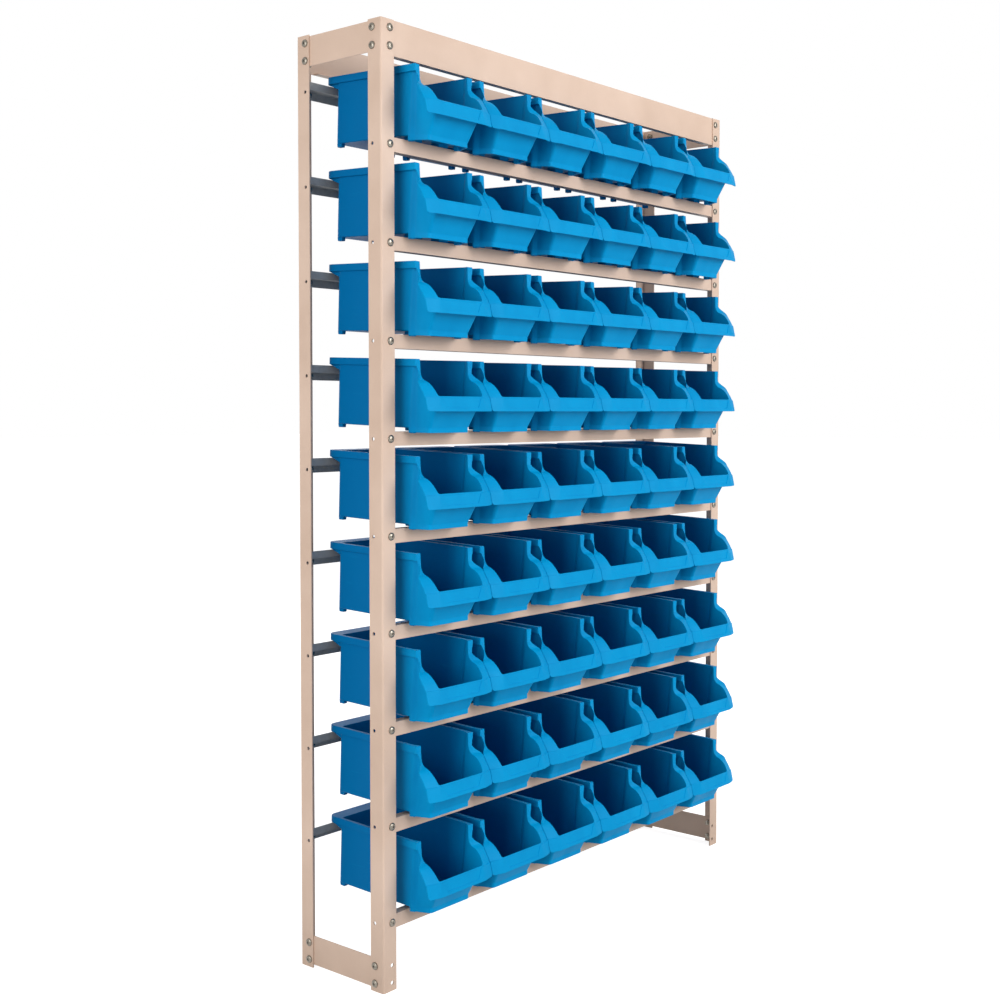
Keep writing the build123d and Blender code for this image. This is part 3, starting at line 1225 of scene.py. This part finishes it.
@dataclass
class BinRows:
    """The rows and columns of bins on the frame, in millimetres."""

    columns: int = 6
    pitch: float = 150.0
    seat: float = 11.3
    face: float = 2.0

    def build(self, mould: BinMould, finish: BinPlastic) -> list[bpy.types.Object]:
        """Places one bin at each row and column.

        Args:
            mould: The bin.
            finish: Its plastic.

        Returns:
            The bins.
        """
        mesh = mould.build()
        mesh.transform(Matrix.Rotation(math.radians(mould.tilt), 4, "X"))
        mesh.materials.clear()
        mesh.materials.append(finish.material())
        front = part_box("uprights")[0].y
        bins = []
        for row in range(1, ROW_COUNT + 1):
            for column in range(1, self.columns + 1):
                node = f"bin_r{row}_c{column}"
                piece = linked(f"moulded_{node}", mesh)
                across = (column - (self.columns + 1) / 2) * self.pitch
                up = LOWEST_ROW + (ROW_COUNT - row) * ROW_PITCH + self.seat
                piece.matrix_world = Matrix.Translation((MM * across, front + MM * self.face, MM * up))
                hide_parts(node)
                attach(piece, node)
                bins.append(piece)
        return bins


@dataclass
class Hardware:
    """The frame's bolts and nuts, in millimetres.

    The recess holds the length and width of one arm. Each row of tip holds how far a ring stands behind
    the bolt's end and how much thinner than the shank it is.
    """

    height: float = 1495.0
    width: float = 975.0
    depth: float = 189.0
    gauge: float = 19.0
    leg: float = 2.0
    sheet: float = 1.2
    rail: float = 1.5
    end_edges: Pair = (12.5, 40.0)
    rear_rise: float = 98.99
    head_radius: float = 6.2
    head_height: float = 3.4
    head_edge: float = 0.7
    head_break: float = 0.25
    dome_steps: int = 8
    dome_power: float = 0.9
    dome_tip: float = 0.08
    recess: Pair = (5.4, 1.15)
    recess_lead: float = 0.5
    recess_depth: float = 1.9
    recess_taper: float = 0.62
    recess_fit: float = 0.9
    shank: float = 3.0
    thread: float = 0.8
    thread_depth: float = 0.3
    thread_lead: float = 1.0
    tail: float = 2.0
    tip: tuple[Plan, Plan] = ((0.4, 0.1), (0.0, 0.6))
    tip_room: float = 0.5
    flats: float = 10.0
    nut: float = 5.0
    nut_chamfer: float = 0.6
    nut_break: float = 0.1
    nut_play: float = 0.05
    nut_steps: int = 24
    turns: int = 28
    spin: float = 47.0
    sharp_angle: float = 38.0

    def lathe(self, name: str, profile: Sequence[Plan]) -> bpy.types.Mesh:
        """A closed turned piece along X, with flat ends.

        Args:
            name: The mesh's name.
            profile: The (x, radius) points.

        Returns:
            The mesh.
        """
        angles = [2 * math.pi * i / self.turns for i in range(self.turns)]
        rings = [
            [(x, radius * math.cos(angle), radius * math.sin(angle)) for angle in angles]
            for x, radius in profile
        ]
        return mesh_of(name, *tube(rings))

    def bolt(self, grip: float) -> bpy.types.Mesh:
        """A domed bolt along +X with a cross recess and a threaded tail.

        Args:
            grip: The thickness between the head's seat, at the origin, and the nut.

        Returns:
            The bolt.
        """
        radius, edge = self.head_radius, self.head_edge
        profile = [(-self.head_height, radius * self.dome_tip)]
        for step in range(1, self.dome_steps + 1):
            swing = math.radians(90 * step / self.dome_steps)
            rise = (self.head_height - edge) * math.cos(swing)
            profile.append((-edge - rise, radius * math.sin(swing) ** self.dome_power))
        profile += [(-self.head_break, radius), (0.0, radius - self.head_break), (0.0, self.shank)]
        end = grip + self.nut + self.tail
        x = grip + self.nut - self.thread_lead
        profile.append((x, self.shank))
        while x + self.thread < end - self.tip_room:
            profile += [
                (x + self.thread / 2, self.shank - self.thread_depth), (x + self.thread, self.shank)
            ]
            x += self.thread
        profile += [(end - back, self.shank - thinner) for back, thinner in self.tip]
        made = self.lathe("bolt_blank", profile)
        arm, blade = (size / 2 for size in self.recess)
        for crossed in (False, True):
            rings = []
            for at, share in ((-self.recess_lead, 1.0), (self.recess_depth, self.recess_taper)):
                x, a, b = -self.head_height + at, arm * share, blade * self.recess_fit
                if crossed:
                    a, b = b, a
                rings.append([(x, -a, -b), (x, a, -b), (x, a, b), (x, -a, b)])
            made = cut(made, mesh_of("recess", *tube(rings)))
        return made

    def hex_nut(self, grip: float) -> bpy.types.Mesh:
        """A chamfered hexagon nut along +X.

        Args:
            grip: Where its seat stands.

        Returns:
            The nut.
        """
        half, sixth = self.flats / 2, math.radians(60)
        bore, face = self.shank + self.nut_play, half - self.nut_break
        rings = []
        for x, round_to in (
            (0.0, bore), (0.0, face), (self.nut_chamfer, None),
            (self.nut - self.nut_chamfer, None), (self.nut, face), (self.nut, bore),
        ):
            ring = []
            for i in range(self.nut_steps):
                turn = math.radians(360 / self.nut_steps * i)
                fold = (turn + sixth / 2) % sixth - sixth / 2
                radius = round_to or half / math.cos(fold)
                ring.append((grip + x, radius * math.cos(turn), radius * math.sin(turn)))
            rings.append(ring)
        points, faces = tube(rings, capped=False)
        last = (len(rings) - 1) * self.nut_steps
        for i in range(self.nut_steps):
            j = (i + 1) % self.nut_steps
            faces.append([last + i, last + j, j, i])
        return mesh_of("nut", points, faces)

    def places(self) -> list[tuple[Matrix, float]]:
        """Where the bolts of the whole frame stand.

        Returns:
            Each bolt's place and the thickness that it grips.
        """
        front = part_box("uprights")[0].y
        heights = [*self.end_edges, *(self.height - edge for edge in self.end_edges)]
        rows = [LOWEST_ROW + ROW_PITCH * i for i in range(ROW_COUNT)]
        panel, rail = self.leg + self.sheet, self.leg + self.rail
        found = []

        def add(x: float, y: float, z: float, degrees: float, grip: float) -> None:
            """Adds one bolt.

            Args:
                x: The seat's x.
                y: Its distance behind the front.
                z: Its height.
                degrees: The bolt's turn about the upright axis.
                grip: The thickness that it grips.
            """
            seat = Matrix.Translation((x * MM, front + y * MM, z * MM))
            found.append((seat @ Matrix.Rotation(math.radians(degrees), 4, "Z"), grip))

        for side in Side:
            edge = side.value * self.width / 2
            bolts = side.value * (self.width / 2 - self.gauge)
            for z in heights:
                for y in (self.gauge, self.depth - self.gauge):
                    add(edge, y, z, 0.0 if side is Side.LEFT else 180.0, panel)
            levels = [(z, panel) for z in heights[2:]]
            for y, degrees, rise in ((0.0, 90.0, 0.0), (self.depth, -90.0, self.rear_rise)):
                for z, grip in levels + [(z + rise, rail) for z in rows]:
                    add(bolts, y, z, degrees, grip)
        return found

    def build(self, finish: ZincPlate) -> list[bpy.types.Object]:
        """All the bolts as one piece and all the nuts as another.

        Args:
            finish: The plating.

        Returns:
            The two pieces.
        """
        material = finish.material()
        made = []
        for name, maker in (("frame_bolts", self.bolt), ("frame_nuts", self.hex_nut)):
            patterns = {grip: maker(grip) for grip in (self.leg + self.sheet, self.leg + self.rail)}
            work = bmesh.new()
            for i, (place, grip) in enumerate(self.places()):
                spin = Matrix.Rotation(math.radians(self.spin * i % 360), 4, "X")
                copy = patterns[grip].copy()
                copy.transform(place @ spin)
                work.from_mesh(copy)
                bpy.data.meshes.remove(copy)
            mesh = bpy.data.meshes.new(name)
            work.to_mesh(mesh)
            work.free()
            mesh = smoothed(mesh, self.sharp_angle)
            mesh.materials.append(material)
            piece = linked(name, mesh)
            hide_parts("fasteners")
            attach(piece, "frame")
            made.append(piece)
        return made


@dataclass
class SteelFrame:
    """The painted angles, panels and front rails and the grey rear rails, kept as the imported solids."""

    edge: float = 0.5
    edge_angle: float = 50.0
    flat_angle: float = 1.0
    weld_reach: float = 0.00001

    def dress(self, paint: PowderCoat, steel: RailSteel) -> list[bpy.types.Object]:
        """Softens the solids' edges and gives them their finishes.

        Args:
            paint: The paint of the frame.
            steel: The finish of the rear rails.

        Returns:
            The dressed solids.
        """
        coat, grey = paint.material(), steel.material()
        whole = {"decimate_type": "DISSOLVE", "angle_limit": math.radians(self.flat_angle)}
        soft = {
            "width": self.edge * MM, "segments": 2,
            "limit_method": "ANGLE", "angle_limit": math.radians(self.edge_angle),
        }
        steps = [
            ("WELD", {"merge_threshold": self.weld_reach}), ("DECIMATE", whole),
            ("BEVEL", soft), ("WEIGHTED_NORMAL", {"weight": 100}),
        ]
        made = []
        for name in ("uprights", "headers", "side_panels", "front_rails", "rear_rails"):
            piece = frame["nodes"][name]
            piece.data.materials.clear()
            piece.data.materials.append(grey if name == "rear_rails" else coat)
            modify(piece, steps)
            made.append(piece)
        return made


@dataclass
class Studio:
    """The pale floor, the soft lamps, the world and the camera, in metres, degrees and watts."""

    yaw: float = 50.403
    pitch: float = 1.823
    lens: float = 49.795
    sensor: float = 36.0
    view_end: float = 200.0
    eye: Point = (-1.9774, -1.5653, 0.8998)
    shift: Pair = (-0.0186, -0.045)
    floor_half: float = 40.0
    floor_grey: float = 0.62
    floor_glow: float = 0.82
    ambient: float = 0.4
    lamp_size: float = 2.4
    lamp_aim: Point = (0.0, 0.0, 0.8)
    lamps: tuple[tuple[str, Point, float], ...] = (
        ("key", (0.9, -3.8, 2.2), 118.0),
        ("fill", (-3.6, -0.4, 1.5), 58.0),
        ("back", (1.5, 3.5, 2.6), 40.0),
    )

    def camera(self) -> None:
        """The camera at the photograph's place."""
        data = bpy.data.cameras.new("camera")
        data.lens = self.lens
        data.sensor_width = self.sensor
        data.shift_x, data.shift_y = self.shift
        data.clip_end = self.view_end
        made = linked("camera", data)
        yaw, pitch = math.radians(self.yaw), math.radians(self.pitch)
        level = math.cos(pitch)
        ahead = Vector((math.sin(yaw) * level, math.cos(yaw) * level, -math.sin(pitch)))
        right = ahead.cross(Vector((0, 0, 1))).normalized()
        turn = Matrix((right, right.cross(ahead), -ahead)).transposed().to_4x4()
        made.matrix_world = Matrix.Translation(self.eye) @ turn
        bpy.context.scene.camera = made

    def lamp(self, name: str, where: Point, power: float) -> None:
        """A square soft lamp that looks at the middle of the unit.

        Args:
            name: The lamp's name.
            where: Its place.
            power: Its power.
        """
        data = bpy.data.lights.new(name, "AREA")
        data.size = self.lamp_size
        data.energy = power
        made = linked(name, data)
        made.location = where
        aim = Vector(self.lamp_aim) - Vector(where)
        made.rotation_euler = aim.to_track_quat("-Z", "Y").to_euler()

    def seen(self, tree: Tree) -> Socket:
        """Tells the rays that show the background from those that light.

        Args:
            tree: The tree to work in.

        Returns:
            1 for camera, glossy and transmission rays, and 0 for others.
        """
        camera, glossy, through = (
            tree.add("ShaderNodeLightPath", out=f"Is {kind} Ray")
            for kind in ("Camera", "Glossy", "Transmission")
        )
        return (camera + glossy + through).at_most(1.0)

    def floor(self) -> None:
        """The pale floor, which shows white and keeps the unit's shadow."""
        mesh = bpy.data.meshes.new("floor")
        corners = ((-1, -1), (1, -1), (1, 1), (-1, 1))
        points = [(x * self.floor_half, y * self.floor_half, 0) for x, y in corners]
        mesh.from_pydata(points, [], [[0, 1, 2, 3]])
        material = bpy.data.materials.new("pale_floor")
        tree = Tree(material)
        grey = (self.floor_grey, self.floor_grey, self.floor_grey, 1.0)
        matte = tree.add("ShaderNodeBsdfDiffuse", None, {"Color": grey})
        glow = self.seen(tree) * self.floor_glow
        shine = tree.add("ShaderNodeEmission", None, {"Color": WHITE, "Strength": glow})
        both = tree.add("ShaderNodeAddShader", None, {0: matte, 1: shine})
        tree.add("ShaderNodeOutputMaterial", None, {"Surface": both})
        mesh.materials.append(material)
        linked("floor", mesh)

    def world(self) -> None:
        """An even white surround, brighter where it is seen than where it lights."""
        world = bpy.data.worlds.new("studio")
        bpy.context.scene.world = world
        tree = Tree(world)
        strength = self.ambient + (1 - self.ambient) * self.seen(tree)
        sky = tree.add("ShaderNodeBackground", None, {"Color": WHITE, "Strength": strength})
        tree.add("ShaderNodeOutputWorld", None, {"Surface": sky})

    def build(self) -> None:
        """Sets up the floor, the light, the camera and the view."""
        self.floor()
        self.world()
        for lamp in self.lamps:
            self.lamp(*lamp)
        self.camera()
        bpy.context.scene.view_settings.view_transform = "Standard"


def main() -> None:
    """Builds the unit's dress in order."""
    logging.basicConfig(level=logging.INFO, format="%(message)s")
    for piece in SteelFrame().dress(PowderCoat(), RailSteel()):
        LOG.info("dressed %s", piece.name)
    for piece in Hardware().build(ZincPlate()):
        LOG.info("built %s: %d faces", piece.name, len(piece.data.polygons))
    bins = BinRows().build(BinMould(), BinPlastic())
    LOG.info("built %d bins of %d faces", len(bins), len(bins[0].data.polygons))
    Studio().build()


if __name__ == "__main__":
    main()
